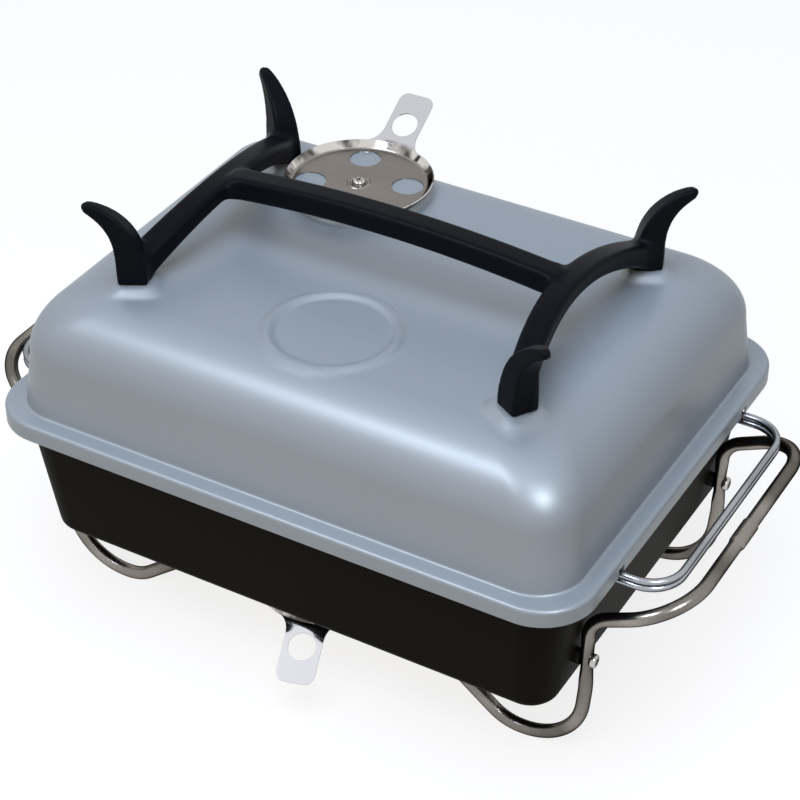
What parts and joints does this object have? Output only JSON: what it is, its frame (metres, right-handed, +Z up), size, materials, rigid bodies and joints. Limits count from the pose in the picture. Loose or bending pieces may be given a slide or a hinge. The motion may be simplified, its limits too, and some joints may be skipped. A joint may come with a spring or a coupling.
{
  "type": "portable charcoal grill",
  "caption": "Tabletop charcoal grill: rectangular bowl on bent-tube legs that are also its handles, lift-off lid with a horned handle, wire grids and rotating vents.",
  "frame": {"origin": "on the ground under the middle of the bowl", "axes": "+X along the long side towards the right end, +Y from the front long side to the back, +Z up; the bottom vent is at the front and the top vent at the back left"},
  "size_m": [0.5688, 0.3629, 0.3227],
  "materials": {
    "lid_paint": "satin",
    "bowl_enamel": "gloss",
    "tube_steel": "brushed",
    "wire_plating": "polished",
    "grate_steel": "plain",
    "damper_steel": "brushed",
    "handle_plastic": "satin",
    "fastener_steel": "polished"
  },
  "bodies": {
    "bowl": {"bowl": "bowl_enamel", "leg_tube_right_front": "tube_steel", "leg_tube_right_back": "tube_steel", "leg_tube_left_front": "tube_steel", "leg_tube_left_back": "tube_steel", "leg_screws": "fastener_steel", "leg_washers": "fastener_steel", "leg_nuts": "fastener_steel", "leg_spacers": "fastener_steel", "bottom_damper_screw": "fastener_steel", "bottom_damper_washer": "fastener_steel", "bottom_damper_nut": "fastener_steel"},
    "bottom_damper": {"bottom_damper": "damper_steel"},
    "charcoal_grate": {"charcoal_grate": "grate_steel"},
    "lower_cooking_grid": {"lower_cooking_grid": "wire_plating"},
    "upper_cooking_grid": {"upper_cooking_grid": "wire_plating"},
    "lid": {"lid": "lid_paint", "lid_handle": "handle_plastic", "lid_handle_screws": "fastener_steel", "lid_handle_washers": "fastener_steel", "top_damper_screw": "fastener_steel", "top_damper_washer": "fastener_steel", "top_damper_nut": "fastener_steel"},
    "top_damper": {"top_damper": "damper_steel"}
  },
  "joints": [
    {"name": "grate_lift", "type": "slide", "parent": "bowl", "child": "charcoal_grate", "axis": [0, 0, 1], "range_m": [0, 0.14]},
    {"name": "lower_grid_lift", "type": "slide", "parent": "charcoal_grate", "child": "lower_cooking_grid", "axis": [0, 0, 1], "range_m": [0, 0.1]},
    {"name": "upper_grid_lift", "type": "slide", "parent": "lower_cooking_grid", "child": "upper_cooking_grid", "axis": [0, 0, 1], "range_m": [0, 0.1]},
    {"name": "lid_lift", "type": "slide", "parent": "upper_cooking_grid", "child": "lid", "axis": [0, 0, 1], "range_m": [0, 0.2]},
    {"name": "top_damper_turn", "type": "hinge", "parent": "lid", "child": "top_damper", "pos_m": [-0.0795, 0.0895, 0.265], "axis": [0, 0, 1], "range_deg": [-45, 45]},
    {"name": "bottom_damper_turn", "type": "hinge", "parent": "bowl", "child": "bottom_damper", "pos_m": [0, -0.089, 0.0622], "axis": [0, 0, 1], "range_deg": [-60, 30]}
  ]
}
